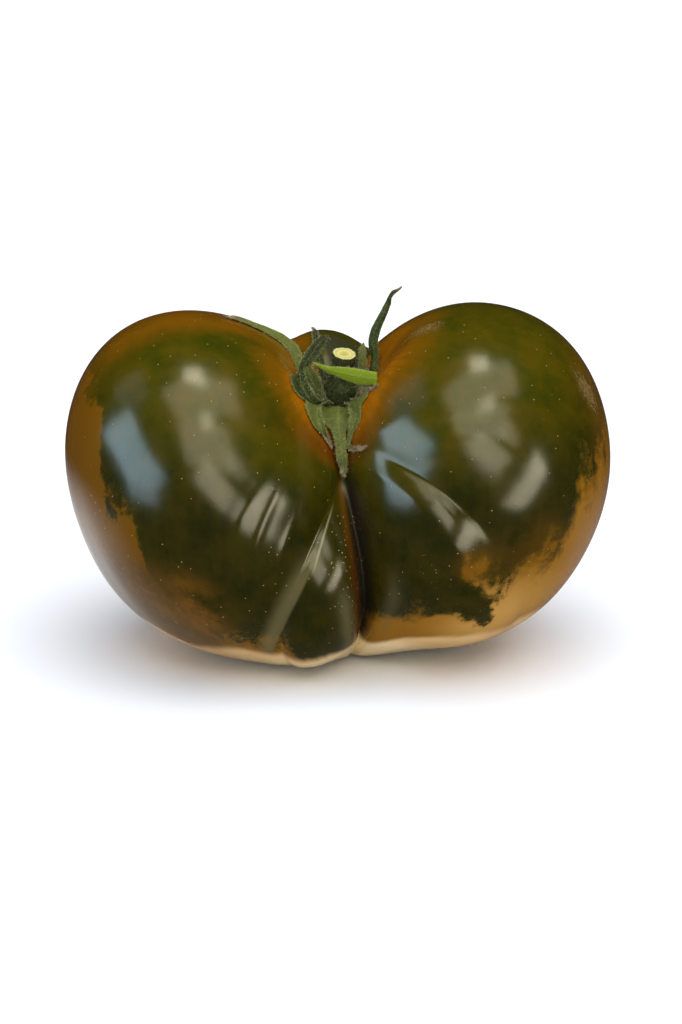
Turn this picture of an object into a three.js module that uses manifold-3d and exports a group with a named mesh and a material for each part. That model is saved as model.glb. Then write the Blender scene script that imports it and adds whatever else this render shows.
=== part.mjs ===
// A large ribbed tomato with two high shoulders, its calyx and the cut stub of its stalk.
// Millimetres, +Z up. The origin is on the surface that the fruit rests on, under its middle.
// +X runs along the widest way, and -Y is the side with the deep crease.

import * as THREE from 'three';
import { mergeVertices } from 'three/addons/utils/BufferGeometryUtils.js';
import Module from 'manifold-3d';

const wasm = await Module();
wasm.setup();
const { clamp, degToRad, lerp } = THREE.MathUtils;

// The fruit's surface is a distance from HEART in every direction, blended from its lobes.
// `lean` turns a lobe about Y, in degrees.
const HEART = new THREE.Vector3(0, -2, 27);
const LOBES = {
  leftShoulder: { centre: [-21.5, -1.6, 32.6], half: [26, 32.3, 32.9], lean: -30 },
  rightShoulder: { centre: [22.4, -1.2, 34.2], half: [26.4, 31.9, 31.7], lean: 19 },
  body: { centre: [-1.9, 2.4, 21.3], half: [40.5, 25.6, 22.6], lean: 0 },
  frontRib: { centre: [-4.4, -11.2, 19.3], half: [12.8, 18.3, 17.8], lean: 18 },
  backLobe: { centre: [-1.1, 13.1, 29.7], half: [15.6, 21, 27.4], lean: -5 },
};
const LOBE_BLEND = 14;

// Each crease runs from the azimuth `top` at the stem to `bottom` at the blossom end, in degrees.
// `depth` is a share of the distance from HEART, `width` is in degrees of azimuth,
// and `from` and `to` say where it starts and ends, as shares of the way down.
const CREASES = {
  deepFront: { top: -92, bottom: -67, depth: 0.15, width: 5, from: 0.12, to: 0.97 },
  leftOfFrontRib: { top: -70, bottom: -134, depth: 0.06, width: 4, from: 0.2, to: 0.9 },
  acrossRightShoulder: { top: -109, bottom: 25, depth: 0.03, width: 4, from: 0.22, to: 0.72 },
  backOfRightShoulder: { top: 28, bottom: 46, depth: 0.035, width: 7, from: 0.2, to: 0.97 },
  middleOfBackLobe: { top: 96, bottom: 84, depth: 0.03, width: 6, from: 0.2, to: 0.97 },
  backOfLeftShoulder: { top: 152, bottom: 134, depth: 0.035, width: 7, from: 0.2, to: 0.97 },
};
const CREASE_FADE = { start: 0.12, end: 0.15 };
const CREASE_ROUNDING = 0.05;

// The basin round the stalk is a bowl that leans a little towards the front.
const BASIN = { depth: 21, rim: degToRad(20), lean: degToRad(6), blend: 10 };
const BLOSSOM_DIMPLE = { depth: 0.06, spread: 0.2 };

// The fruit has settled this far on its soft underside, which is pressed flat there.
const SETTLED = 0.5;

// The skin's facets stand closer together at the front, where the creases are.
const COLUMNS = 90;
const ROWS = 48;
const FRONT = degToRad(-90);
const COLUMN_CROWDING = 0.5;

// Clearance between the fruit, the calyx and the stalk.
const GAP = 0.45;

// The stalk's stub. Its profile is radius and height: a swollen foot, a neck and a clean cut.
const STALK = {
  foot: new THREE.Vector3(0.2, -3.3, 48.3),
  top: new THREE.Vector3(1.1, -4.6, 57.5),
  profile: [[1.9, 0], [3, 0.9], [3.25, 2], [2.9, 3.3], [2.25, 4.6], [2, 6]],
  cutRadius: 2.15,
  steps: 18,
  sides: 20,
};

const DISC = { centre: [0.3, -3.6, 48.4], radius: 4.6, height: 1.3, sides: 24, rings: 12 };
const BLADE = { thickness: 0.8, cup: 0.12, acrossSteps: 4, alongSteps: 14 };

// The sepals, clockwise seen from above and starting at the front.
// `path` is the middle line, `widths` are spread evenly along it, and `side` points across it,
// at the root and at the tip.
const SEPALS = {
  frontApron: {
    path: [
      [0.3, -4, 48.3], [0.1, -9, 48.9], [0, -13.2, 47.4], [0.5, -15.8, 44], [0.9, -16.9, 41.2],
      [1.1, -18, 38.8],
    ],
    widths: [5, 9, 7.6, 3.4, 2, 0.8],
    side: [[1, 0, 0], [1, 0, 0]],
  },
  leftStrand: {
    path: [
      [-1.5, -5, 48.3], [-3.4, -11, 49.2], [-3.9, -15.2, 47.9], [-2.8, -16.8, 45.6], [-1.2, -17.2, 43],
      [0.2, -17.4, 41],
    ],
    widths: [3, 3, 2.2, 1.8, 1.4, 0.8],
    side: [[1, 0, 0], [1, 0, 0]],
  },
  leftCurl: {
    path: [
      [-2, -4, 48.8], [-4.6, -7, 51], [-6.8, -9.6, 54], [-7.9, -12, 54.8], [-7.2, -14.2, 53.4],
      [-5.6, -14.8, 51.6],
    ],
    widths: [3.2, 4.4, 4.6, 4.4, 3.4, 1.2],
    side: [[0.6, -0.8, 0], [0.7, -0.3, -0.6]],
  },
  crossingBlade: {
    path: [
      [-2, -3, 49.2], [-6, -3.8, 53], [-6.4, -3.4, 55.2], [-4.6, -2.4, 57.4], [-3, -1.2, 59],
      [-2.4, -0.6, 60],
    ],
    widths: [3.2, 3, 3, 2.8, 2.2, 0.9],
    side: [[0, -1, 0], [-0.8, 0.2, 0.5]],
  },
  longLeftBlade: {
    path: [
      [-2, -2, 49.4], [-6.6, -1, 54.8], [-10.4, 0.3, 59], [-15.7, 0.6, 61.7], [-18.4, 0.7, 62.8],
      [-21, 0.8, 63.6],
    ],
    widths: [3.2, 3.3, 3, 2.5, 1.8, 0.8],
    side: [[0, -1, 0], [0, -0.75, -0.65]],
  },
  backBlade: {
    path: [[-0.6, -1.6, 49], [-1, 2.4, 51], [-1.8, 6, 54], [-2.8, 9.4, 56], [-3.6, 12, 57], [-4, 13.4, 58]],
    widths: [3, 3.2, 3, 2.2, 1.5, 0.8],
    side: [[-1, 0, 0], [-1, 0, 0]],
  },
  smallStandingBlade: {
    path: [[2, -1.6, 49], [4.6, -0.4, 53.4], [5.2, 0, 55.4], [5, 0.6, 57.6]],
    widths: [2.4, 2, 1.7, 0.8],
    side: [[-0.5, 0.8, 0], [-1, 0.2, 0]],
  },
  tallRightBlade: {
    path: [
      [2.4, -2.4, 49], [5.8, -2, 54], [6, -1.4, 57], [7.2, -1, 60], [9.2, -1.4, 65], [10.2, -2, 68],
      [11.3, -3, 69.2],
    ],
    widths: [3, 2.4, 2, 1.9, 1.7, 1.3, 0.8],
    side: [[0, 1, 0], [0.8, -0.5, -0.3]],
  },
  brightStrap: {
    path: [
      [2, -2.6, 49.6], [5, -4.6, 53], [7, -7.6, 55.4], [6.9, -9.8, 55.8], [4, -10.4, 55.6],
      [0.6, -10.4, 55.4], [-2.2, -9.6, 56.6], [-4.8, -8.3, 57.5],
    ],
    widths: [3, 3.4, 3.8, 3.9, 3.6, 3, 2, 0.8],
    side: [[0, 0, 1], [0, 0, 1]],
  },
  rightFold: {
    path: [[2.4, -4, 48.8], [3.8, -8.6, 50], [4.9, -12, 50.6], [5.6, -14.4, 50.6]],
    widths: [3.4, 3.8, 3.2, 1.2],
    side: [[0.8, 0.6, 0], [0.8, 0.6, 0]],
  },
  rightStrand: {
    path: [
      [1.5, -5, 48.3], [3.6, -11, 49.6], [4.3, -15.6, 48.8], [3.6, -17.2, 46.4], [2.8, -18.2, 44.6],
      [5.2, -21.3, 45.4],
    ],
    widths: [3, 3, 2.2, 1.6, 1.2, 0.8],
    side: [[1, 0, 0], [0.8, 0.5, -0.3]],
  },
};

// Distance from HEART to one lobe's ellipsoid along a direction.
function lobeReach(direction, { centre, half, lean }) {
  const turn = degToRad(lean);
  const inLobe = (v) => new THREE.Vector3(
    (v.x * Math.cos(turn) - v.z * Math.sin(turn)) / half[0],
    v.y / half[1],
    (v.x * Math.sin(turn) + v.z * Math.cos(turn)) / half[2],
  );
  const ray = inLobe(direction);
  const start = inLobe(HEART.clone().sub(new THREE.Vector3(...centre)));
  const a = ray.dot(ray);
  const b = ray.dot(start);
  const c = start.dot(start) - 1;
  return (-b + Math.sqrt(b * b - a * c)) / a;
}

function smoothStep(value) {
  const x = clamp(value, 0, 1);
  return x * x * (3 - 2 * x);
}

// Share of the distance that one crease takes away.
function creaseCut(azimuth, down, { top, bottom, depth, width, from, to }) {
  const line = degToRad(lerp(top, bottom, down));
  const away = Math.atan2(Math.sin(azimuth - line), Math.cos(azimuth - line));
  const across = away / degToRad(width);
  const fade = smoothStep(Math.min((down - from) / CREASE_FADE.start, (to - down) / CREASE_FADE.end));
  return depth * fade * Math.exp(-Math.sqrt(across * across + CREASE_ROUNDING));
}

// Distance from HEART to the fruit's skin along a direction of length one.
function fruitReach(direction) {
  const azimuth = Math.atan2(direction.y, direction.x);
  const polar = Math.acos(clamp(direction.z, -1, 1));
  const lobes = Object.values(LOBES);
  const total = lobes.reduce((sum, lobe) => sum + lobeReach(direction, lobe) ** LOBE_BLEND, 0);
  let reach = total ** (1 / LOBE_BLEND);
  for (const crease of Object.values(CREASES)) reach *= 1 - creaseCut(azimuth, polar / Math.PI, crease);
  const alongBasin = direction.z * Math.cos(BASIN.lean) - direction.y * Math.sin(BASIN.lean);
  const offBasin = Math.acos(clamp(alongBasin, -1, 1));
  const bowl = BASIN.depth * (1 + (offBasin / BASIN.rim) ** 4);
  reach = (reach ** -BASIN.blend + bowl ** -BASIN.blend) ** (-1 / BASIN.blend);
  const fromBlossom = (Math.PI - polar) / BLOSSOM_DIMPLE.spread;
  return reach * (1 - BLOSSOM_DIMPLE.depth * Math.exp(-fromBlossom * fromBlossom));
}

// Moves every vertex of a geometry to where `move` puts it.
function reshape(geometry, move) {
  const position = geometry.getAttribute('position');
  const point = new THREE.Vector3();
  for (let i = 0; i < position.count; i += 1) {
    point.fromBufferAttribute(position, i);
    const moved = move(point);
    position.setXYZ(i, moved.x, moved.y, moved.z);
  }
  return geometry;
}

// The fruit is a sphere whose every vertex is pushed out to the skin.
function fruitGeometry() {
  const sphere = new THREE.SphereGeometry(1, COLUMNS, ROWS).rotateX(Math.PI / 2);
  return reshape(sphere, (point) => {
    const turn = Math.atan2(point.y, point.x);
    const azimuth = turn - COLUMN_CROWDING * Math.sin(turn - FRONT);
    const flat = Math.hypot(point.x, point.y);
    const direction = new THREE.Vector3(flat * Math.cos(azimuth), flat * Math.sin(azimuth), point.z);
    direction.normalize();
    const skin = direction.clone().multiplyScalar(fruitReach(direction)).add(HEART);
    skin.z = Math.max(skin.z, SETTLED);
    return skin;
  });
}

// Lifts a point off the fruit until it is `lift` above the skin.
function liftOffFruit(point, lift) {
  const direction = point.clone().sub(HEART);
  const distance = direction.length();
  direction.normalize();
  const least = fruitReach(direction) + lift;
  return distance < least ? direction.multiplyScalar(least).add(HEART) : point;
}

// The value at share t of a row of evenly spaced values.
function along(values, t) {
  const place = clamp(t, 0, 1) * (values.length - 1);
  const step = Math.min(Math.floor(place), values.length - 2);
  return lerp(values[step], values[step + 1], place - step);
}

// A sepal is a thin box bent along its path, cupped across, and laid over the fruit where it meets it.
function sepalGeometry({ path, widths, side }) {
  const curve = new THREE.CatmullRomCurve3(path.map((p) => new THREE.Vector3(...p)), false, 'centripetal');
  const [rootSide, tipSide] = side.map((s) => new THREE.Vector3(...s));
  const box = new THREE.BoxGeometry(2, 2, 1, BLADE.acrossSteps, 1, BLADE.alongSteps);
  return reshape(box, (point) => {
    const t = point.z + 0.5;
    const tangent = curve.getTangentAt(t);
    const across = rootSide.clone().lerp(tipSide, t);
    across.addScaledVector(tangent, -across.dot(tangent)).normalize();
    const outward = tangent.clone().cross(across);
    const width = along(widths, t);
    const cup = BLADE.cup * width * point.x * point.x;
    const placed = curve.getPointAt(t)
      .addScaledVector(across, point.x * width / 2)
      .addScaledVector(outward, point.y * BLADE.thickness / 2 + cup);
    return liftOffFruit(placed, point.y > 0 ? GAP + BLADE.thickness : GAP);
  });
}

function discGeometry() {
  const centre = new THREE.Vector3(...DISC.centre);
  return reshape(new THREE.SphereGeometry(1, DISC.sides, DISC.rings), (point) => {
    const placed = new THREE.Vector3(point.x * DISC.radius, point.z * DISC.radius, -point.y * DISC.height);
    return liftOffFruit(placed.add(centre), point.y < 0 ? GAP + BLADE.thickness : GAP);
  });
}

// The stalk's stub, turned about its own axis. `extra` grows it on its sides and foot.
function stalkGeometry(extra) {
  const length = STALK.top.distanceTo(STALK.foot);
  const points = [...STALK.profile, [STALK.cutRadius, length]];
  const bends = points.map(([radius, height]) => new THREE.Vector3(radius + extra, height, 0));
  const profile = new THREE.CatmullRomCurve3(bends, false, 'centripetal');
  const outline = profile.getPoints(STALK.steps).map((p) => new THREE.Vector2(p.x, p.y));
  outline[0].y = -extra;
  outline.unshift(new THREE.Vector2(0, -extra));
  outline.push(new THREE.Vector2(0, length));
  const upright = new THREE.Vector3(0, 1, 0);
  const axis = STALK.top.clone().sub(STALK.foot).normalize();
  return new THREE.LatheGeometry(outline, STALK.sides)
    .applyQuaternion(new THREE.Quaternion().setFromUnitVectors(upright, axis))
    .translate(STALK.foot.x, STALK.foot.y, STALK.foot.z);
}

// A closed geometry as a solid that can be joined and cut, and back.
function toSolid(geometry) {
  const bare = geometry.clone();
  bare.deleteAttribute('normal');
  bare.deleteAttribute('uv');
  const merged = mergeVertices(bare, 1e-4);
  return new wasm.Manifold(new wasm.Mesh({
    numProp: 3,
    vertProperties: new Float32Array(merged.getAttribute('position').array),
    triVerts: new Uint32Array(merged.getIndex().array),
  }));
}

function toGeometry(solid) {
  const mesh = solid.getMesh();
  const geometry = new THREE.BufferGeometry();
  geometry.setAttribute('position', new THREE.BufferAttribute(mesh.vertProperties, mesh.numProp));
  geometry.setIndex(new THREE.BufferAttribute(mesh.triVerts, 1));
  geometry.computeVertexNormals();
  return geometry;
}

function largestBody(solid) {
  return solid.decompose().reduce((kept, body) => (body.volume() > kept.volume() ? body : kept));
}

// The calyx is the disc with every sepal grown out of it, and a seat for the stalk's foot.
function calyxGeometry() {
  const blades = Object.values(SEPALS).map((sepal) => toSolid(sepalGeometry(sepal)));
  const grown = blades.reduce((whole, blade) => whole.add(blade), toSolid(discGeometry()));
  return toGeometry(largestBody(grown.subtract(toSolid(stalkGeometry(GAP)))));
}

function namedMesh(name, geometry, look) {
  const mesh = new THREE.Mesh(geometry, new THREE.MeshStandardMaterial(look));
  mesh.name = name;
  return mesh;
}

const tomato = new THREE.Group();
tomato.position.z = -SETTLED;
tomato.add(namedMesh('fruit', fruitGeometry(), { color: 0x4a470e, roughness: 0.25, metalness: 0 }));
tomato.add(namedMesh('calyx', calyxGeometry(), { color: 0x5c6b2c, roughness: 0.65, metalness: 0 }));
tomato.add(namedMesh('pedicel', stalkGeometry(0), { color: 0x3c4420, roughness: 0.7, metalness: 0 }));

export default tomato;
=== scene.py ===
# A large ribbed tomato, dark green and ripening orange, with its calyx and cut stalk.
# Lengths in this script are millimetres in the fruit's own frame, and metres once a mesh is made.
import math

import bpy
import numpy as np
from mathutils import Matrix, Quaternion, Vector


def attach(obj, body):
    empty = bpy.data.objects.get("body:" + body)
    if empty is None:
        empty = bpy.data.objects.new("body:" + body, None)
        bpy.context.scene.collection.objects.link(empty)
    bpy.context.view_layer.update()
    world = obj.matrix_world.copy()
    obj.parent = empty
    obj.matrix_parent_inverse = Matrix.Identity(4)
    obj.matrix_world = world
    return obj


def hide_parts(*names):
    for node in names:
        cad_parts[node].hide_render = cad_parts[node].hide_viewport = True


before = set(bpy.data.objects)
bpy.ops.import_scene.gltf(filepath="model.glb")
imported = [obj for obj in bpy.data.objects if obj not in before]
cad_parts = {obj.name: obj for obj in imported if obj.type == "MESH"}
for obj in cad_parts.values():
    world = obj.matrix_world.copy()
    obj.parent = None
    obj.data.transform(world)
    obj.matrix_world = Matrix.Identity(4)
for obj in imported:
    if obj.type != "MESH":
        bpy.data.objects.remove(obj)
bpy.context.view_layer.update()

MM = 0.001

# The fruit's form, the same as in the part's source.
HEART = np.array([0.0, -2.0, 27.0])
LOBES = {
    "left shoulder": dict(centre=(-21.5, -1.6, 32.6), half=(26.0, 32.3, 32.9), lean=-30),
    "right shoulder": dict(centre=(22.4, -1.2, 34.2), half=(26.4, 31.9, 31.7), lean=19),
    "body": dict(centre=(-1.9, 2.4, 21.3), half=(40.5, 25.6, 22.6), lean=0),
    "front rib": dict(centre=(-4.4, -11.2, 19.3), half=(12.8, 18.3, 17.8), lean=18),
    "back lobe": dict(centre=(-1.1, 13.1, 29.7), half=(15.6, 21.0, 27.4), lean=-5),
}
LOBE_BLEND = 14
CREASES = {
    "deep front": dict(top=-92, bottom=-67, depth=0.15, width=5, start=0.12, end=0.97),
    "left of front rib": dict(top=-70, bottom=-134, depth=0.06, width=4, start=0.2, end=0.9),
    "across right shoulder": dict(top=-109, bottom=25, depth=0.03, width=4, start=0.22, end=0.72),
    "back of right shoulder": dict(top=28, bottom=46, depth=0.035, width=7, start=0.2, end=0.97),
    "middle of back lobe": dict(top=96, bottom=84, depth=0.03, width=6, start=0.2, end=0.97),
    "back of left shoulder": dict(top=152, bottom=134, depth=0.035, width=7, start=0.2, end=0.97),
}
CREASE_FADE_IN, CREASE_FADE_OUT = 0.12, 0.15
CREASE_ROUNDING = 0.05
BASIN = dict(depth=21.0, rim=math.radians(20), lean=math.radians(6), blend=10)
BLOSSOM_DIMPLE = dict(depth=0.06, spread=0.2)
# It is lowered onto its table by this much, with a rounded edge round the flat spot.
SETTLED = 0.5
SETTLED_EDGE = 0.08

# The skin's mesh has its columns closer together at the front, where the photograph looks.
COLUMNS = 392
ROWS = 232
FRONT = math.radians(-90)
COLUMN_CROWDING = 0.5


def smooth_step(value):
    x = np.clip(value, 0, 1)
    return x * x * (3 - 2 * x)


def bell(value, width):
    return np.exp(-(value / width) ** 2)


def turn_between(azimuth, line):
    """Signed angle from line to azimuth, in degrees; both are in degrees."""
    return (azimuth - line + 180) % 360 - 180


def off_line(azimuth, down, line):
    """How many degrees each point is round from a crease's middle."""
    return turn_between(azimuth, line["top"] + (line["bottom"] - line["top"]) * down)


def within(value, low, high, soft):
    """1 between low and high and 0 outside them, with edges that soften inwards."""
    return smooth_step((value - low) / soft) * smooth_step((high - value) / soft)


def lobe_reach(direction, centre, half, lean):
    """Distance from HEART to one lobe's ellipsoid along each direction."""
    turn = math.radians(lean)

    def in_lobe(v):
        across = v[..., 0] * math.cos(turn) - v[..., 2] * math.sin(turn)
        up = v[..., 0] * math.sin(turn) + v[..., 2] * math.cos(turn)
        return np.stack([across, v[..., 1], up], -1) / half

    ray = in_lobe(direction)
    start = in_lobe(HEART - np.array(centre))
    a = (ray * ray).sum(-1)
    b = (ray * start).sum(-1)
    c = (start * start).sum() - 1
    return (-b + np.sqrt(b * b - a * c)) / a


def crease_cut(azimuth, down, top, bottom, depth, width, start, end):
    """Share of the distance that one crease takes away. azimuth is in degrees."""
    across = turn_between(azimuth, top + (bottom - top) * down) / width
    fade = smooth_step(np.minimum((down - start) / CREASE_FADE_IN, (end - down) / CREASE_FADE_OUT))
    return depth * fade * np.exp(-np.sqrt(across ** 2 + CREASE_ROUNDING))


def fruit_reach(direction):
    """Distance from HEART to the fruit's skin along each direction of length one."""
    azimuth = np.degrees(np.arctan2(direction[..., 1], direction[..., 0]))
    polar = np.arccos(np.clip(direction[..., 2], -1, 1))
    reach = sum(lobe_reach(direction, **lobe) ** LOBE_BLEND for lobe in LOBES.values()) ** (1 / LOBE_BLEND)
    for crease in CREASES.values():
        reach = reach * (1 - crease_cut(azimuth, polar / math.pi, **crease))
    along_basin = direction[..., 2] * math.cos(BASIN["lean"]) - direction[..., 1] * math.sin(BASIN["lean"])
    off_basin = np.arccos(np.clip(along_basin, -1, 1))
    bowl = BASIN["depth"] * (1 + (off_basin / BASIN["rim"]) ** 4)
    reach = (reach ** -BASIN["blend"] + bowl ** -BASIN["blend"]) ** (-1 / BASIN["blend"])
    return reach * (1 - BLOSSOM_DIMPLE["depth"] * bell(math.pi - polar, BLOSSOM_DIMPLE["spread"]))


# Random waves add up to lumps, and their lengths lie between these shares of the length that is asked for.
WAVE_COUNT = 14
WAVE_LENGTHS = (0.7, 1.5)


def waves(points, length, seed):
    """Smooth random lumps between about -1 and 1, `length` across, from a seeded sum of waves."""
    draw = np.random.default_rng(seed)
    total = np.zeros(points.shape[:-1])
    for _ in range(WAVE_COUNT):
        direction = draw.normal(size=3)
        direction /= np.linalg.norm(direction)
        pace = 2 * math.pi / (length * draw.uniform(*WAVE_LENGTHS))
        total += np.sin(points @ direction * pace + draw.uniform(0, 2 * math.pi))
    return total / math.sqrt(WAVE_COUNT)


# Small relief on the skin, in millimetres. Azimuths and widths round the fruit are in degrees, and places
# down the skin are shares of the way from stem to blossom end. The flank ribs are on the left shoulder's
# inner side.
FLANK_RIBS = {
    "outer": dict(top=(244.7, 0.372), bottom=(239.7, 0.467), width=1.7, height=0.24),
    "middle": dict(top=(249.2, 0.380), bottom=(242.8, 0.522), width=0.9, height=0.24),
    "inner": dict(top=(254.7, 0.417), bottom=(248.6, 0.540), width=1.2, height=0.28),
}
FLANK_RIB_FADE = 0.06
# A bank steps down to the right shoulder's crease, and the skin beyond it rises again over a longer way.
SHOULDER_LINE = CREASES["across right shoulder"]
SHOULDER_BANK = dict(width=8.5, height=1.7, run=(0.24, 0.62, 0.1), bend=30, bend_start=0.38, far_slope=0.4)
DEEP_LINE = CREASES["deep front"]
GROOVE = dict(width=3.0, height=1.0, run=(0.3, 0.9, 0.1))
LUMPS = dict(length=16.0, height=0.14, seed=11)
FLUTES = dict(length=0.22, height=0.10, seed=12, down_scale=0.5)


def line_through(top, bottom, down):
    """A slanting line's azimuth at each share of the way down. top and bottom are azimuth and share."""
    (top_azimuth, start), (bottom_azimuth, end) = top, bottom
    return top_azimuth + (bottom_azimuth - top_azimuth) * (down - start) / (end - start)


def skin_relief(direction, azimuth, down):
    relief = np.zeros_like(down)
    for rib in FLANK_RIBS.values():
        line = line_through(rib["top"], rib["bottom"], down)
        start = rib["top"][1] - FLANK_RIB_FADE
        end = rib["bottom"][1] + FLANK_RIB_FADE
        along = within(down, start, end, 2 * FLANK_RIB_FADE)
        relief += rib["height"] * along * bell(turn_between(azimuth, line), rib["width"])
    bend = SHOULDER_BANK["bend"] * np.maximum(0, down - SHOULDER_BANK["bend_start"])
    across = (off_line(azimuth, down, SHOULDER_LINE) + bend) / SHOULDER_BANK["width"]
    far_side = smooth_step(1 - SHOULDER_BANK["far_slope"] * across)
    slope = np.where(across < 0, np.clip(1 + across, 0, 1), far_side)
    relief -= SHOULDER_BANK["height"] * within(down, *SHOULDER_BANK["run"]) * slope
    groove = bell(off_line(azimuth, down, DEEP_LINE), GROOVE["width"])
    relief -= GROOVE["height"] * groove * within(down, *GROOVE["run"])
    relief += LUMPS["height"] * waves(direction * HEART[2], LUMPS["length"], LUMPS["seed"])
    radians = np.radians(azimuth)
    meridian = np.stack([np.cos(radians), np.sin(radians), down * FLUTES["down_scale"]], -1)
    middle = np.sin(math.pi * down) ** 2
    relief += FLUTES["height"] * middle * waves(meridian, FLUTES["length"], FLUTES["seed"])
    return relief


# Where the green cap and the orange ring round the stem end and the pale underside starts, by azimuth. The
# underside is partly the skin's own pale colour and partly painted light, as if lit from the table below.
GREEN_ENDS = {
    0: 0.38, 25: 0.44, 45: 0.52, 62: 0.56, 85: 0.5, 105: 0.56, 125: 0.5, 145: 0.42, 165: 0.33, 185: 0.31,
    203: 0.34, 206: 0.385, 208: 0.415, 216: 0.425, 218: 0.45, 220: 0.51, 223: 0.6, 228: 0.65, 238: 0.665,
    246: 0.68, 256: 0.72, 268: 0.78, 284: 0.74, 296: 0.635, 303: 0.585, 306: 0.51, 309: 0.505, 313: 0.535,
    320: 0.54, 324: 0.505, 329: 0.485, 332: 0.44, 334: 0.41, 342: 0.39, 350: 0.37,
}
RING_ENDS = {
    0: 0.145, 20: 0.135, 35: 0.1, 50: -0.05, 100: -0.05, 125: 0.06, 150: 0.12, 185: 0.13, 203: 0.14,
    228: 0.18, 240: 0.21, 250: 0.25, 262: 0.28, 280: 0.27, 292: 0.235, 300: 0.21, 308: 0.195, 323: 0.165,
    345: 0.14,
}
# The pale underside: partly the skin's own colour and partly painted light from the table, brighter low down.
PALE_AND_BOUNCE_LIGHT_STARTS = {
    0: 0.64, 60: 0.7, 120: 0.7, 180: 0.64, 200: 0.64, 210: 0.69, 229: 0.695, 241: 0.735, 266: 0.74,
    280: 0.79, 291: 0.84, 305: 0.74, 313: 0.68, 322: 0.65, 332: 0.64, 340: 0.62,
}
GREEN_EDGE, RING_EDGE, PALE_AND_BOUNCE_LIGHT_EDGE = 0.09, 0.12, 0.07
DARK_GREEN_START, DARK_GREEN_EDGE = 0.27, 0.15
SCAR_START, SCAR_EDGE = 0.965, 0.02
# A dark finger of green reaches down and right under the golden patch. Its right side is the line from top to
# bottom, and its low side sinks by drop for each degree right of drop_from.
FINGER = dict(
    top=(301.5, 0.5), bottom=(325, 0.638), right_edge=8, left=299, left_edge=6, high=0.5, high_edge=0.05,
    low=0.595, low_edge=0.1, drop=0.0024, drop_from=305, strength=1.3)
# Patches of colour by azimuth. run is from where to where they reach down the skin, and how softly they end.
BROWN_PATCHES = [
    dict(middle=228, width=6, run=(0.49, 0.66, 0.06)),
    dict(middle=323, width=8, run=(0.42, 0.55, 0.05), strength=0.3),
    dict(middle=309, width=5, run=(0.46, 0.55, 0.04), strength=0.5),
]
BLUSH_PATCHES = [
    dict(middle=356, width=11, run=(0.27, 0.5, 0.06), strength=0.7),
    dict(middle=122, width=14, run=(0.1, 0.4, 0.1), strength=0.6),
]
DUSTY_PATCHES = [
    dict(middle=274, width=10, run=(0.34, 0.7, 0.1)),
    dict(middle=300, width=12, run=(0.34, 0.7, 0.1), strength=0.5),
]
TAN_PATCH = dict(middle=320, width=17, run=(0.5, 0.72, 0.1))
TAN_LEFT, TAN_LEFT_EDGE = 300, 16
# Round spots have a level and a height in place of a run.
# Painted shade: a darker red-brown spot on the skin on both sides of the front apron, where the sepals shade
# it.
APRON_SHADE_SPOT = dict(middle=268, width=20, level=0.24, height=0.035)
RUSSET_SPOTS = [
    dict(middle=342, width=14, level=0.135, height=0.04, strength=0.75),
    dict(middle=348, width=7, level=0.335, height=0.05, strength=0.8),
]
# Stripes along the deep crease: patches whose middle is so many degrees right of the crease's own.
RED_STRIPE = dict(middle=-4.6, width=2.1, run=(0.25, 0.95, 0.1), strength=0.75)
# Painted shadow: a near-black stripe on the deep crease's right wall.
CREASE_SHADOW_STRIPE = dict(middle=0.3, width=3.0, run=(0.25, 0.95, 0.1))
# Painted highlight, partly the skin's own paler colour: paler bands on both sides of the deep crease.
PALE_AND_HIGHLIGHT_STRIPES = [
    dict(middle=-10.5, width=3.0, run=(0.54, 0.82, 0.08), strength=0.8),
    dict(middle=9.5, width=2.2, run=(0.5, 0.8, 0.1), strength=0.4),
]
# The front rib's left edge, as azimuth by share of the way down, with a thin painted highlight line on it and
# a paler band beside it.
RIB_EDGE = {0.33: 269, 0.39: 267, 0.454: 264, 0.524: 261, 0.582: 256, 0.654: 249, 0.715: 242, 0.78: 236}
# Painted highlight: a thin pale line along the rib's left edge.
RIB_EDGE_HIGHLIGHT = dict(width=0.35, run=(0.37, 0.55, 0.06))
# Painted highlight, partly the skin's own paler colour: a paler band left of the rib's edge.
RIB_PALE_AND_HIGHLIGHT = dict(reach=9.5, fade=6, edge=1.5, run=(0.46, 0.8, 0.1))
LEFT_SIDE = (140, 236, 12)
SHADE_SIDE = (180, 234, 14)
SHADE_RUN = (0.48, 0.7, 0.05)
# Painted shade: dark green on the skin just behind the stalk, in the stem's hollow.
SHADED_BASIN_SIDE = (42, 112, 10)
SHADED_BASIN_END, SHADED_BASIN_EDGE = 0.155, 0.035
LEFT_BLUSH = dict(
    front=201, front_edge=14, back=95, back_edge=30, run=(0.06, 0.5, 0.1), gap=0.325, gap_height=0.035,
    gap_depth=0.6)


def around(values, azimuth):
    """The value of a table of azimuths at each azimuth."""
    places = np.array(sorted(values), float)
    heights = np.array([values[p] for p in sorted(values)])
    return np.interp(azimuth % 360, places, heights, period=360)


def patch(azimuth, down, middle, width, run, strength=1.0):
    return strength * bell(turn_between(azimuth, middle), width) * within(down, *run)


def spot(azimuth, down, middle, width, level, height, strength=1.0):
    return strength * bell(turn_between(azimuth, middle), width) * bell(down - level, height)


def dark_finger(azimuth, down):
    """1 in the dark finger of green, and 0 outside it."""
    left_of_line = turn_between(line_through(FINGER["top"], FINGER["bottom"], down), azimuth)
    low = FINGER["low"] + FINGER["drop"] * turn_between(azimuth, FINGER["drop_from"])
    inside = smooth_step(0.5 + left_of_line / FINGER["right_edge"])
    inside *= smooth_step(0.5 + (low - down) / FINGER["low_edge"])
    inside *= smooth_step(turn_between(azimuth, FINGER["left"]) / FINGER["left_edge"])
    return inside * smooth_step((down - FINGER["high"]) / FINGER["high_edge"])


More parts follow.
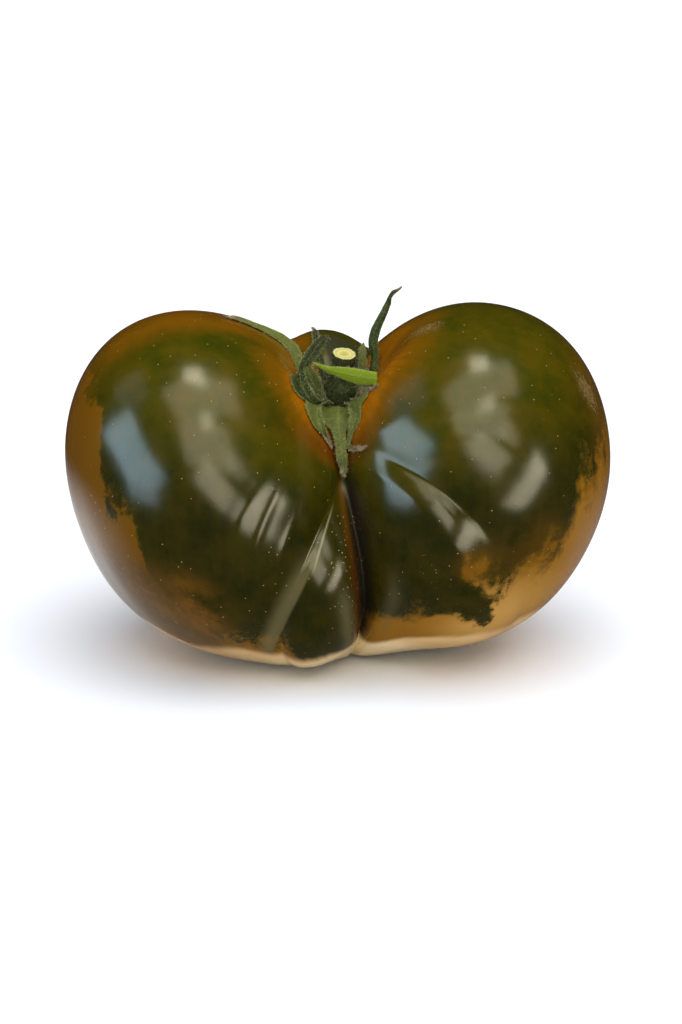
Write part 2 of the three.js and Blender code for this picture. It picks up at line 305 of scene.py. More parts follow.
def left_blush(azimuth, down):
    """The blush on the left shoulder's outer side, weaker in a gap part of the way down."""
    blush = smooth_step(turn_between(LEFT_BLUSH["front"], azimuth) / LEFT_BLUSH["front_edge"])
    blush *= smooth_step(turn_between(azimuth, LEFT_BLUSH["back"]) / LEFT_BLUSH["back_edge"])
    gap = LEFT_BLUSH["gap_depth"] * bell(down - LEFT_BLUSH["gap"], LEFT_BLUSH["gap_height"])
    return blush * within(down, *LEFT_BLUSH["run"]) * (1 - gap)


def pale_and_highlight_bands(down, off_rib, off_deep):
    """Paler bands left of the front rib's edge and on both sides of the deep crease: painted highlight,
    partly the skin's own paler colour.
    """
    pale_and_highlight_band = smooth_step((off_rib + RIB_PALE_AND_HIGHLIGHT["reach"]) / RIB_PALE_AND_HIGHLIGHT["fade"])
    pale_and_highlight_band *= smooth_step(-off_rib / RIB_PALE_AND_HIGHLIGHT["edge"]) * within(down, *RIB_PALE_AND_HIGHLIGHT["run"])
    return pale_and_highlight_band + sum(patch(off_deep, down, **one) for one in PALE_AND_HIGHLIGHT_STRIPES)


def fruit_paint(azimuth, down):
    """The skin's colour fields, one number for each vertex, mostly 0 to 1."""

    def patches(kinds):
        return sum(patch(azimuth, down, **one) for one in kinds)

    off_deep = off_line(azimuth, down, DEEP_LINE)
    off_rib = turn_between(azimuth, np.interp(down, list(RIB_EDGE), list(RIB_EDGE.values())))
    green_to_ripe = 0.5 + (down - around(GREEN_ENDS, azimuth)) / GREEN_EDGE
    right_of_tan_edge = smooth_step(turn_between(azimuth, TAN_LEFT) / TAN_LEFT_EDGE)
    return {
        "ripe": green_to_ripe - FINGER["strength"] * dark_finger(azimuth, down),
        "brown": np.clip(patches(BROWN_PATCHES), 0, 1),
        "shade": within(azimuth, *SHADE_SIDE) * within(down, *SHADE_RUN),
        "left": within(azimuth, *LEFT_SIDE),
        "ring": smooth_step(0.5 + (around(RING_ENDS, azimuth) - down) / RING_EDGE),
        "blush": np.clip(left_blush(azimuth, down) + patches(BLUSH_PATCHES), 0, 1),
        "basin_shade": within(azimuth % 360, *SHADED_BASIN_SIDE) * smooth_step((SHADED_BASIN_END - down) / SHADED_BASIN_EDGE),
        "apron_shade": spot(azimuth, down, **APRON_SHADE_SPOT),
        "tan": patch(azimuth, down, **TAN_PATCH) * right_of_tan_edge,
        "pale_and_bounce_light": smooth_step(0.5 + (down - around(PALE_AND_BOUNCE_LIGHT_STARTS, azimuth)) / PALE_AND_BOUNCE_LIGHT_EDGE),
        "crease_left": patch(off_deep, down, **RED_STRIPE),
        "crease_shadow": patch(off_deep, down, **CREASE_SHADOW_STRIPE),
        "deep": smooth_step((down - DARK_GREEN_START) / DARK_GREEN_EDGE),
        "pale_and_highlight_band": pale_and_highlight_bands(down, off_rib, off_deep),
        "rib_edge_highlight": bell(off_rib, RIB_EDGE_HIGHLIGHT["width"]) * within(down, *RIB_EDGE_HIGHLIGHT["run"]),
        "russet": np.clip(sum(spot(azimuth, down, **one) for one in RUSSET_SPOTS), 0, 1),
        "dusty": np.clip(patches(DUSTY_PATCHES), 0, 1),
        "scar": smooth_step((down - SCAR_START) / SCAR_EDGE),
        "meridian_x": np.cos(np.radians(azimuth)),
        "meridian_y": np.sin(np.radians(azimuth)),
        "down": down,
    }


def add_object(name, data):
    made = bpy.data.objects.new(name, data)
    bpy.context.scene.collection.objects.link(made)
    return made


def new_mesh(name, vertices, quads, triangles=(), fields=None):
    """A smooth-shaded object from millimetre vertices, with one float attribute for each field."""
    mesh = bpy.data.meshes.new(name)
    faces = [tuple(f) for f in quads] + [tuple(f) for f in triangles]
    mesh.from_pydata((np.asarray(vertices) * MM).tolist(), [], faces)
    mesh.polygons.foreach_set("use_smooth", [True] * len(mesh.polygons))
    for field, values in (fields or {}).items():
        layer = mesh.attributes.new(field, "FLOAT", "POINT")
        layer.data.foreach_set("value", np.asarray(values, np.float32).ravel())
    mesh.validate()
    return add_object(name, mesh)


def tube_faces(rings, sides):
    """Quads between rings of vertices, and triangle fans from the next two vertices to the end rings."""
    ring, side = np.meshgrid(np.arange(rings - 1), np.arange(sides), indexing="ij")
    here = ring * sides + side
    beside = ring * sides + (side + 1) % sides
    quads = np.stack([here, beside, beside + sides, here + sides], -1).reshape(-1, 4)
    side = np.arange(sides)
    after = (side + 1) % sides
    last = (rings - 1) * sides
    first_fan = np.stack([after, side, np.full(sides, rings * sides)], -1)
    last_fan = np.stack([last + side, last + after, np.full(sides, rings * sides + 1)], -1)
    return quads, np.concatenate([first_fan, last_fan])


def make_fruit():
    turn = np.linspace(0, 2 * math.pi, COLUMNS, endpoint=False)
    azimuth = turn - COLUMN_CROWDING * np.sin(turn - FRONT)
    polar = np.linspace(0, math.pi, ROWS + 1)[1:-1]
    polar, azimuth = np.meshgrid(polar, azimuth, indexing="ij")
    polar = np.append(polar.ravel(), [0.0, math.pi])
    azimuth = np.append(azimuth.ravel(), [0.0, 0.0])
    flat = np.sin(polar)
    direction = np.stack([flat * np.cos(azimuth), flat * np.sin(azimuth), np.cos(polar)], -1)
    azimuth = np.degrees(azimuth)
    down = polar / math.pi
    reach = fruit_reach(direction) + skin_relief(direction, azimuth, down)
    points = HEART + direction * reach[:, None]
    above = (points[:, 2] - SETTLED) / SETTLED_EDGE
    points[:, 2] = SETTLED_EDGE * np.logaddexp(0, above)
    quads, fans = tube_faces(ROWS - 1, COLUMNS)
    return new_mesh("tomato_skin", points, quads[:, ::-1], fans[:, ::-1], fruit_paint(azimuth, down))


# Materials are built from nodes by this helper.
def linear(red, green, blue):
    """A colour as the eye reads it, 0 to 255, as linear light."""
    part = np.array([red, green, blue]) / 255
    light = np.where(part <= 0.04045, part / 12.92, ((part + 0.055) / 1.055) ** 2.4)
    return (*light.tolist(), 1.0)


class Graph:
    """One material's nodes. Inputs are given by name or number, as values or as other nodes' outputs."""

    def __init__(self, name):
        self.material = bpy.data.materials.new(name)
        self.material.use_nodes = True
        self.tree = self.material.node_tree
        self.shader = self.tree.nodes["Principled BSDF"]

    def node(self, kind, inputs=None, output=0, **settings):
        made = self.tree.nodes.new(kind)
        for setting, value in settings.items():
            setattr(made, setting, value)
        for key, value in (inputs or {}).items():
            self.put(made, key, value)
        return made.outputs[output]

    def put(self, node, key, value):
        if isinstance(value, bpy.types.NodeSocket):
            self.tree.links.new(value, node.inputs[key])
        else:
            node.inputs[key].default_value = value

    def field(self, name):
        return self.node("ShaderNodeAttribute", output="Fac", attribute_name=name)

    def math(self, operation, first, second=0.0, clamp=False):
        inputs = {0: first, 1: second}
        return self.node("ShaderNodeMath", inputs, operation=operation, use_clamp=clamp)

    def vector(self, operation, inputs, output=0):
        return self.node("ShaderNodeVectorMath", inputs, output, operation=operation)

    def add(self, first, second):
        return self.math("ADD", first, second)

    def times(self, first, second):
        return self.math("MULTIPLY", first, second)

    def mix(self, share, first, second):
        inputs = {"Factor": share, 6: first, 7: second}
        return self.node("ShaderNodeMix", inputs, output=2, data_type="RGBA")

    def blend(self, share, first, second):
        """Two colours, each 0 to 255, mixed by a share."""
        return self.mix(share, linear(*first), linear(*second))

    def layer(self, base, share, tint, strength=1.0):
        """A tint, 0 to 255, laid over the base colour."""
        return self.mix(self.times(share, strength), base, linear(*tint))

    def band(self, value, low, high):
        """0 where value is at low, 1 where it is at high, smooth between."""
        inputs = {"Value": value, "From Min": low, "From Max": high}
        return self.node("ShaderNodeMapRange", inputs, interpolation_type="SMOOTHSTEP")

    def noise(self, place, scale, detail, roughness, distortion=0.0):
        inputs = {"Vector": place, "Scale": scale, "Detail": detail, "Roughness": roughness,
                  "Distortion": distortion}
        return self.node("ShaderNodeTexNoise", inputs)

    def specks(self, place, scale, outer, inner):
        """Scattered dots, 1 inside and 0 outside, with their soft edge between two radii."""
        cells = self.node("ShaderNodeTexVoronoi", {"Vector": place, "Scale": scale}, output="Distance")
        return self.band(cells, outer, inner)

    def ramp(self, value, stops):
        """Colours, each 0 to 255, by the value at which each stands."""
        made = self.tree.nodes.new("ShaderNodeValToRGB")
        elements = made.color_ramp.elements
        while len(elements) < len(stops):
            elements.new(0.5)
        for element, (place, colour) in zip(elements, stops.items()):
            element.position = place
            element.color = linear(*colour)
        self.put(made, 0, value)
        return made.outputs[0]

    def place(self):
        """The point's own place on the object, in millimetres."""
        at = self.node("ShaderNodeTexCoord", output="Object")
        return self.vector("SCALE", {0: at, "Scale": 1 / MM})

    def bump(self, height, strength, distance):
        inputs = {"Height": height, "Strength": strength, "Distance": distance}
        self.put(self.shader, "Normal", self.node("ShaderNodeBump", inputs))


# The skin's colours as the eye reads them, 0 to 255. A pair is the two ends of a mottle or a change down the
# skin.
# Some of these are painted light and shade: the dark green in the stem's hollow, the red-brown beside the
# apron, the crease's shadow, the paler highlight bands, the rib's highlight line, and the brighter part of
# the pale underside.
SKIN = dict(
    green_high=((52, 55, 2), (76, 65, 2)), green_low=((33, 34, 2), (50, 44, 2)), tan=(190, 142, 68),
    left=(108, 71, 2), shade=(78, 56, 10), brown=(112, 72, 7), blush=(114, 72, 2), ring_outer=(106, 72, 1),
    ring_inner=(158, 92, 1), basin_shade=(26, 32, 8), apron_shade=(90, 38, 4), crease_left=((96, 60, 6), (84, 38, 4)),
    crease_shadow=(26, 15, 3), pale_and_highlight_band=(108, 98, 62), pale_and_bounce_light=((232, 190, 130), (255, 228, 176)),
    speck=(178, 164, 108), russet=(140, 114, 66), rib_edge_highlight=(168, 160, 118), scar=(96, 70, 40))
RIPE_STOPS = {0.45: (72, 58, 3), 0.7: (112, 76, 4), 0.95: (138, 92, 6), 1.0: (146, 98, 10)}
# How far each pattern moves the ragged edge between green and ripe.
RIPE_EDGE = dict(broad=0.8, fine=0.25, patches=2.5, blots=0.9)
SKIN_ROUGHNESS = 0.13
SKIN_IOR = 1.38


def skin_patterns(g, place):
    """Noises about 0: streaks that run from stem to blossom end, and blotches of several sizes."""
    across = g.node("ShaderNodeCombineXYZ", {0: g.field("meridian_x"), 1: g.field("meridian_y")})

    def streaks(around_scale, down_scale, detail):
        wide = g.vector("SCALE", {0: across, "Scale": around_scale})
        long = g.node("ShaderNodeCombineXYZ", {2: g.times(g.field("down"), down_scale)})
        both = g.vector("ADD", {0: wide, 1: long})
        return g.noise(both, scale=1.0, detail=detail, roughness=0.6, distortion=0.6)

    noises = {
        "broad": streaks(around_scale=8.0, down_scale=3.0, detail=3.0),
        "fine": streaks(around_scale=30.0, down_scale=8.0, detail=4.0),
        "mottle": g.noise(place, scale=0.14, detail=5.0, roughness=0.65),
        "patches": g.noise(place, scale=0.09, detail=6.0, roughness=0.7),
        "blots": g.noise(place, scale=0.33, detail=4.0, roughness=0.65, distortion=0.8),
    }
    return {name: g.math("SUBTRACT", noise, 0.5) for name, noise in noises.items()}


def ripening(g, pattern):
    """Green that turns orange towards the blossom end, with the orange ring round the stem."""
    ripe = g.field("ripe")
    for name, share in RIPE_EDGE.items():
        ripe = g.add(ripe, g.times(pattern[name], share))
    streaky = g.add(pattern["mottle"], g.times(pattern["fine"], 0.3))
    green_high = g.blend(g.band(pattern["mottle"], -0.2, 0.2), *SKIN["green_high"])
    green_low = g.blend(g.band(streaky, -0.2, 0.2), *SKIN["green_low"])
    green = g.mix(g.field("deep"), green_high, green_low)
    colour = g.mix(g.band(ripe, 0.25, 0.75), green, g.ramp(ripe, RIPE_STOPS))
    is_ripe = g.band(ripe, 0.5, 0.8)
    for name in ("tan", "left"):
        colour = g.layer(colour, g.times(g.field(name), is_ripe), SKIN[name])
    in_blots = g.band(g.add(pattern["patches"], pattern["blots"]), 0.32, -0.1)
    colour = g.layer(colour, g.times(g.field("shade"), in_blots), SKIN["shade"], 0.85)
    in_patches = g.band(pattern["patches"], -0.18, 0.08)
    colour = g.layer(colour, g.times(g.field("brown"), in_patches), SKIN["brown"])
    blush = g.math("MULTIPLY", g.field("blush"), g.add(0.9, pattern["mottle"]), clamp=True)
    colour = g.layer(colour, blush, SKIN["blush"])
    uneven = g.add(g.times(pattern["fine"], 0.35), g.times(pattern["mottle"], 0.4))
    ring = g.add(g.field("ring"), uneven)
    colour = g.layer(colour, g.band(ring, 0.25, 0.8), SKIN["ring_outer"])
    return g.layer(colour, g.band(ring, 0.75, 1.15), SKIN["ring_inner"])


def creases_and_underside(g, colour, pattern):
    # Painted shade in the stem's hollow behind the stalk, and on both sides of the front apron.
    for name, strength in {"basin_shade": 0.9, "apron_shade": 0.7}.items():
        colour = g.layer(colour, g.field(name), SKIN[name], strength)
    red = g.blend(g.band(g.field("down"), 0.4, 0.58), *SKIN["crease_left"])
    colour = g.mix(g.field("crease_left"), colour, red)
    # Painted shadow on the crease's right wall, and paler bands that are painted highlight, partly the skin's
    # own paler colour.
    for name, strength in {"crease_shadow": 0.95, "pale_and_highlight_band": 0.75}.items():
        colour = g.layer(colour, g.field(name), SKIN[name], strength)
    # The pale underside, partly the skin's own colour and partly painted light from the table, brightest low
    # down.
    pale_and_bounce_light = g.add(g.field("pale_and_bounce_light"), g.times(pattern["broad"], 0.4))
    pale_and_bounce_lit_skin = g.blend(g.band(g.field("down"), 0.72, 0.8), *SKIN["pale_and_bounce_light"])
    return g.mix(g.band(pale_and_bounce_light, 0.15, 0.95), colour, pale_and_bounce_lit_skin)


def fruit_material():
    g = Graph("tomato_skin")
    place = g.place()
    pattern = skin_patterns(g, place)
    colour = creases_and_underside(g, ripening(g, pattern), pattern)
    dusty = g.band(g.add(g.field("dusty"), g.times(pattern["mottle"], 1.2)), 0.5, 0.9)
    dust = g.times(g.specks(place, scale=1.1, outer=0.16, inner=0.1), dusty)
    speck = g.math("MAXIMUM", g.specks(place, scale=0.55, outer=0.075, inner=0.045), dust)
    colour = g.layer(colour, speck, SKIN["speck"], 0.8)
    scuffs = g.noise(place, scale=1.6, detail=6.0, roughness=0.75, distortion=1.2)
    russet = g.band(g.add(g.field("russet"), g.times(scuffs, 1.4)), 1.25, 1.6)
    colour = g.layer(colour, russet, SKIN["russet"], 0.7)
    # Painted highlight along the front rib's left edge.
    colour = g.layer(colour, g.field("rib_edge_highlight"), SKIN["rib_edge_highlight"], 0.6)
    colour = g.layer(colour, g.field("scar"), SKIN["scar"])
    g.put(g.shader, "Base Color", colour)
    waxy = g.noise(place, scale=0.35, detail=4.0, roughness=0.6)
    rough = g.add(SKIN_ROUGHNESS, g.times(waxy, 0.12))
    for duller, share in ((russet, 0.15), (g.field("crease_left"), 0.15), (g.field("crease_shadow"), 0.5),
                          (g.field("basin_shade"), 0.5)):
        rough = g.add(rough, g.times(duller, share))
    g.put(g.shader, "Roughness", rough)
    g.put(g.shader, "IOR", SKIN_IOR)
    pores = g.noise(place, scale=2.6, detail=4.0, roughness=0.6)
    height = g.add(g.times(pores, 0.010), g.times(speck, 0.05))
    g.bump(g.add(height, g.times(russet, 0.05)), strength=1.0, distance=MM)
    return g.material


# The calyx and the stalk have the same middle lines as in the part's source, with finer edges and folds. A
# sepal's path is x, y, z and the blade's width at each point. side is the way across it at its root and tip,
# cup is how far its edges stand up, and twist turns its outer half. tone is 0 for the darkest green and 1
# for the brightest, partly each sepal's own green and partly painted light and shade: the upturned strap is
# painted as if lit from above, and the back, crossing and curled blades as if in shade. root is the share
# painted into shade at the stem, dry the share withered at the tip, and crumple how uneven it is.
GAP = 0.25
BLADE_THICKNESS = 0.44
STALK_FOOT = np.array([0.1, -3.7, 48.0])
STALK_TOP = np.array([1.1, -4.9, 57.7])
DISC = dict(centre=(0.3, -3.6, 48.0), radius=4.6, height=1.0, lobes=5, lobe_depth=0.08, lobe_turn=0.6)
DISC_SIDES, DISC_RINGS = 48, 12
DISC_TONE, DISC_ACROSS = 0.12, 0.5
SEPALS = {
    "front_apron": dict(
        path=[(0.2, -4, 48.3, 5), (0.1, -8.5, 48.4, 7.6), (0, -11.2, 48, 9.2), (0, -12.9, 47.4, 7.4),
              (0.1, -14.2, 46.5, 3.2), (0.3, -15.8, 45, 2.1), (0.5, -16.8, 43.3, 2), (0.8, -17.5, 41.5, 1.8),
              (0.9, -17.9, 39.9, 1.2), (1, -18.3, 38.6, 0.6)],
        side=[(1, 0, 0), (1, 0, 0)], cup=0.05, tone_and_light=0.47, dry=0.16, crumple=0.8),
    "left_strand": dict(
        path=[(-1.5, -5, 48.5, 2.6), (-3.6, -11.4, 49.9, 2), (-4.1, -14.3, 49.3, 2.3), (-3.5, -15.8, 48, 2.3),
              (-2.7, -16.4, 46.3, 1.7), (-1.8, -16.4, 44.8, 1.1), (-1.1, -16.3, 43.5, 0.5)],
        side=[(1, 0, 0), (1, 0, 0.3)], cup=0.14, twist=25, tone_and_light=0.47, root=0.3, dry=0.2, crumple=0.8),
    "left_curl": dict(
        path=[(-2, -6, 48.8, 2), (-3.8, -12.2, 50.3, 1.8), (-5, -13.8, 51.6, 2.6), (-6.1, -13.4, 53.2, 3),
              (-6.7, -10.3, 54.4, 2.4), (-6.5, -8, 55.4, 0.9)],
        side=[(0.6, 0.2, 0.75), (0.9, 0.45, 0)], cup=0.16, tone_and_light=0.14, crumple=0.3),
    "inner_left": dict(
        path=[(-1.6, -6.6, 48.6, 1.6), (-2.5, -8.5, 49.5, 1.4), (-3.6, -8.3, 51.5, 2.2),
              (-4.8, -7.8, 53.8, 2.7), (-5.7, -7.2, 55.6, 1.6)],
        side=[(0.88, 0, 0.47), (0.88, 0, 0.47)], cup=-0.12, tone_and_light=0.4, crumple=0.4),
    "crossing_blade": dict(
        path=[(-2.4, -4.4, 49.6, 2), (-5.4, -6, 52.4, 2), (-6.3, -6, 54.6, 1.9), (-5.6, -5, 56.3, 2.1),
              (-4.5, -4, 57.7, 2.2), (-3.3, -3, 59.1, 2), (-2.4, -2.5, 59.9, 1.2), (-1.6, -2.4, 59.5, 0.6)],
        side=[(-0.84, 0, 0.55), (-0.84, 0, 0.55)], tone_and_light=0.1, root=0.1, dry=0.1, crumple=0.3),
    "long_left_blade": dict(
        path=[(-2.5, -2.5, 49.8, 2.4), (-7.1, -2, 55, 1.8), (-7.4, -0.6, 55.9, 2), (-8.5, 0.4, 57.3, 2.4),
              (-9.8, 0.9, 58.5, 2), (-11.6, 0.9, 59.7, 1.7), (-14.1, 0.9, 60.8, 1.6), (-16.6, 0.7, 61.9, 1.5),
              (-18.7, 0.4, 62.8, 1.2), (-20.5, -0.2, 63.1, 0.5)],
        side=[(-0.84, -0.2, -0.5), (0, -0.8, -0.6)], tone_and_light=0.55, dry=0.2, crumple=0.25),
    "back_blade": dict(
        path=[(-0.6, -1.6, 49, 2.2), (-2.6, 1.4, 52.4, 1.8), (-3.7, 4.4, 55.4, 1.4), (-4.1, 8, 56.9, 1.2),
              (-4.4, 11, 57.6, 1), (-4.7, 13.2, 58, 0.6)],
        side=[(-1, 0, 0), (-1, 0, 0)], tone_and_light=0.05, dry=0.12, crumple=0.6),
    "small_standing_blade": dict(
        path=[(2, -1.8, 49, 2.4), (4.3, -3.2, 53, 2), (4.4, -3.4, 55, 1.6), (4.3, -3, 56.7, 1.4),
              (4.4, -2.6, 57.9, 1.1), (4.5, -2.3, 58.8, 0.4)],
        side=[(-0.9, 0.3, 0), (-1, 0.2, 0)], tone_and_light=0.6, root=0.4, crumple=0.3),
    "tall_right_blade": dict(
        path=[(2.4, -2.4, 49, 2.8), (5.9, -3, 53.4, 1.6), (6.5, -2.4, 56.2, 1.5), (6.2, -1.7, 59, 1.8),
              (6.7, -1.4, 61.1, 1.7), (7.5, -1.3, 62.9, 1.5), (8.3, -1.3, 64.6, 1.3), (8.9, -1.4, 66.1, 1.05),
              (9.2, -1.7, 67.2, 0.7), (9.8, -2, 68.1, 0.75), (10.6, -2.5, 68.7, 0.5), (11.3, -3, 69.3, 0.3)],
        side=[(0.9, -0.3, 0), (0.9, -0.2, -0.4)], cup=0.14, tone_and_light=0.3, root=0.3, dry=0.12, crumple=0.25),
    "bright_strap": dict(
        path=[(1.6, -4.2, 49.6, 2), (3.6, -8.4, 51.8, 2), (5.2, -11.6, 54, 2), (6.3, -13.4, 55.2, 2.2),
              (6.7, -14.1, 55.5, 2.3), (5.9, -13.9, 55.5, 2.5), (3.8, -12.9, 55.5, 2.8),
              (1.7, -12.2, 55.8, 2.5), (-0.2, -11.6, 56.1, 1.8), (-2.1, -10.8, 56.4, 1.1),
              (-4.4, -9.8, 57.3, 0.35)],
        side=[(0, 0, 1), (0, 0, 1)], cup=0.05, tone_and_light=1, root=0.5, dry=0.05, crumple=0.15),
    "right_fold": dict(
        path=[(2.4, -5, 48.8, 2), (3.6, -10.6, 50.1, 1.6), (4.2, -12.2, 51.2, 2.6), (5, -13.1, 52.4, 2.8),
              (5.9, -13.8, 53.6, 1.2)],
        side=[(0.85, 0, -0.5), (0.6, 0, -0.8)], cup=0.16, tone_and_light=0.26, dry=0.3, crumple=0.7),
    "right_strand": dict(
        path=[(1.5, -5, 48.5, 2.2), (2.7, -11.4, 49.8, 1.6), (3.1, -14.3, 49.3, 2.4), (3, -15.5, 48.3, 2.3),
              (2.4, -16, 46.7, 1.4), (2.1, -16.4, 45.2, 0.9), (1.9, -16.8, 44, 1), (2.6, -18, 43.8, 1),
              (3.7, -19.9, 44.4, 0.7), (5.1, -21.6, 45.2, 0.35)],
        side=[(1, 0, 0), (0.3, -0.2, 0.9)], cup=0.16, tone_and_light=0.5, root=0.3, dry=0.3, crumple=0.8),
}
BLADE_RINGS = 110
BLADE_SIDES = 36
# A blade is fully thick where its half width is FULL_BREADTH, and thinner where it is narrower. Its midrib,
# side veins, ripples and ragged edge are in millimetres and in waves along it.
FULL_BREADTH = 1.2
THINNEST = 0.6
MIDRIB = dict(height=0.10, width=0.12)
SIDE_VEINS = dict(height=0.035, per_mm=0.9, slant=1.2)
RIPPLE = dict(height=0.2, per_mm=1.9)
RAGGED = dict(coarse=0.06, coarse_pace=43, fine=0.05, fine_pace=97)
WANDER = dict(length=2.6, crumpled=0.1, dry=0.08)
DRY_EDGE = 0.15
PALE_EDGE_POWER = 7
ROOT_LIGHT = 0.15
ROOT_CAP, TIP_CAP = 0.2, 0.25
SIDEWAYS_HAIR = 0.8
PATH_STEPS = 40


def smooth_path(points):
    """Points along a centripetal Catmull-Rom curve, and their distances along it in x, y and z."""
    points = np.array(points, float)
    first = 2 * points[0] - points[1]
    last = 2 * points[-1] - points[-2]
    row = np.vstack([first, points, last])
    knots = np.concatenate([[0], np.cumsum(np.sqrt(np.linalg.norm(np.diff(row, axis=0), axis=1)))])
    dense = []
    for i in range(1, len(row) - 2):
        k = knots[i - 1:i + 3]
        t = np.linspace(k[1], k[2], PATH_STEPS, endpoint=False)[:, None]

        def between(a, b, low, high):
            return (high - t) / (high - low) * a + (t - low) / (high - low) * b

        ones = [between(row[i + j - 1], row[i + j], k[j], k[j + 1]) for j in range(3)]
        twos = [between(ones[j], ones[j + 1], k[j], k[j + 2]) for j in range(2)]
        dense.append(between(*twos, k[1], k[2]))
    dense.append(points[-1:])
    dense = np.vstack(dense)
    steps_along = np.linalg.norm(np.diff(dense[:, :3], axis=0), axis=1)
    return dense, np.concatenate([[0], np.cumsum(steps_along)])


def unit(v):
    return v / np.linalg.norm(v, axis=-1, keepdims=True)


def lift_off_fruit(points, lift):
    """Points nearer the skin than lift, or under it, are moved out to that distance."""
    direction = points - HEART
    distance = np.linalg.norm(direction, axis=-1)
    direction = unit(direction)
    least = fruit_reach(direction) + lift
    return np.where((distance < least)[..., None], HEART + direction * least[..., None], points)


def blade_surface(seed, path, side, tone_and_light, crumple, cup=0.1, root=0.2, dry=0.0, twist=0):
    """A blade's rings of vertices, its two end points, the way out of each vertex, and its colour fields."""
    dense, length = smooth_path(path)
    t = np.linspace(0, 1, BLADE_RINGS)
    places = t * length[-1]
    middle = np.stack([np.interp(places, length, dense[:, i]) for i in range(3)], -1)
    width = np.interp(places, length, dense[:, 3])
    tangent = unit(np.gradient(middle, axis=0))
    across = np.array(side[0]) * (1 - t)[:, None] + np.array(side[1]) * t[:, None]
    across = unit(across - (across * tangent).sum(-1, keepdims=True) * tangent)
    beyond = np.cross(tangent, across)
    angle = np.radians(twist * smooth_step((t - 0.5) / 0.5))[:, None]
    across, outward = (across * np.cos(angle) + beyond * np.sin(angle),
                       beyond * np.cos(angle) - across * np.sin(angle))
    turn = np.linspace(0, 2 * math.pi, BLADE_SIDES, endpoint=False)
    u = np.cos(turn)[None, :] * np.ones((BLADE_RINGS, 1))
    face = np.sin(turn)[None, :]
    tt = t[:, None] * np.ones_like(u)
    along = tt * length[-1]
    half_width = width[:, None] / 2
    dryness = smooth_step((tt - (1 - dry)) / DRY_EDGE) if dry > 0 else np.zeros_like(tt)
    breadth = np.minimum(1, half_width / FULL_BREADTH)
    thin = 0.5 * BLADE_THICKNESS * (THINNEST + (1 - THINNEST) * breadth)
    midrib = MIDRIB["height"] * bell(u, MIDRIB["width"]) * np.sign(face) * breadth
    vein_turns = along * SIDE_VEINS["per_mm"] - np.abs(u) * half_width * SIDE_VEINS["slant"]
    veins = SIDE_VEINS["height"] * np.sin(vein_turns * 2 * math.pi) * (1 - u * u) * np.sign(face) * breadth
    ripple = np.sin(along * RIPPLE["per_mm"] + seed + 2 * np.sign(u))
    ripple = RIPPLE["height"] * crumple * breadth * u * u * ripple
    height = thin * face + midrib + veins + ripple + cup * width[:, None] * u * u
    ragged = RAGGED["coarse"] * np.sin(tt * RAGGED["coarse_pace"] + seed)
    ragged += RAGGED["fine"] * np.sin(tt * RAGGED["fine_pace"] + 2 * seed + np.sign(u))
    sideways = u * half_width * (1 + crumple * ragged)
    points = middle[:, None, :] + across[:, None, :] * sideways[..., None]
    points = points + outward[:, None, :] * height[..., None]
    wander = np.stack([waves(points, WANDER["length"], seed + i) for i in range(3)], -1)
    wander *= (WANDER["crumpled"] * crumple + WANDER["dry"] * dryness)[..., None]
    points = lift_off_fruit(points + wander * tt[..., None], GAP + BLADE_THICKNESS * 0.5 * (1 + face))
    ends = np.stack([middle[0] - tangent[0] * ROOT_CAP, middle[-1] + tangent[-1] * TIP_CAP])
    ends = lift_off_fruit(ends, GAP + BLADE_THICKNESS * 0.5)
    away = across[:, None, :] * u[..., None] * SIDEWAYS_HAIR + outward[:, None, :] * face[..., None]
    # Painted shade: each blade is darker near its root at the stem.
    lit = ROOT_LIGHT + (1 - ROOT_LIGHT) * smooth_step(tt / root)
    fields = {"tone_and_light": tone_and_light * lit, "edge": np.abs(u) ** PALE_EDGE_POWER * breadth, "dry": dryness, "across": u}
    flat = {name: np.append(values.ravel(), [values[0, 0], values[-1, 0]]) for name, values in fields.items()}
    return points, ends, unit(away), tangent, flat


def make_blade(name, seed, sepal):
    rings, ends, away, tangent, fields = blade_surface(seed, **sepal)
    vertices = np.vstack([rings.reshape(-1, 3), ends]) - [0, 0, SETTLED]
    quads, fans = tube_faces(BLADE_RINGS, BLADE_SIDES)
    blade = new_mesh(name, vertices, quads[:, ::-1], fans[:, ::-1], fields)
    return blade, rings - [0, 0, SETTLED], away, tangent


def make_disc():
    """The low green plate that all the sepals grow from."""
    turn = np.linspace(0, 2 * math.pi, DISC_SIDES, endpoint=False)
    over = np.linspace(0, math.pi, DISC_RINGS + 2)[1:-1]
    lobed = 1 + DISC["lobe_depth"] * np.cos(DISC["lobes"] * turn + DISC["lobe_turn"])
    x = DISC["radius"] * np.sin(over)[:, None] * np.cos(turn) * lobed
    y = DISC["radius"] * np.sin(over)[:, None] * np.sin(turn) * lobed
    z = 0.5 * DISC["height"] * (1 + np.cos(over))[:, None] * np.ones(DISC_SIDES)
    rings_of_points = np.stack([x, y, z], -1) + DISC["centre"]
    top = np.array(DISC["centre"]) + [0, 0, DISC["height"]]
    points = lift_off_fruit(np.vstack([rings_of_points.reshape(-1, 3), top, DISC["centre"]]), GAP)
    quads, fans = tube_faces(DISC_RINGS, DISC_SIDES)
    blank = np.zeros(len(points))
    fields = {"tone_and_light": blank + DISC_TONE, "edge": blank, "dry": blank, "across": blank + DISC_ACROSS}
    return new_mesh("calyx_disc", points - [0, 0, SETTLED], quads, fans, fields)


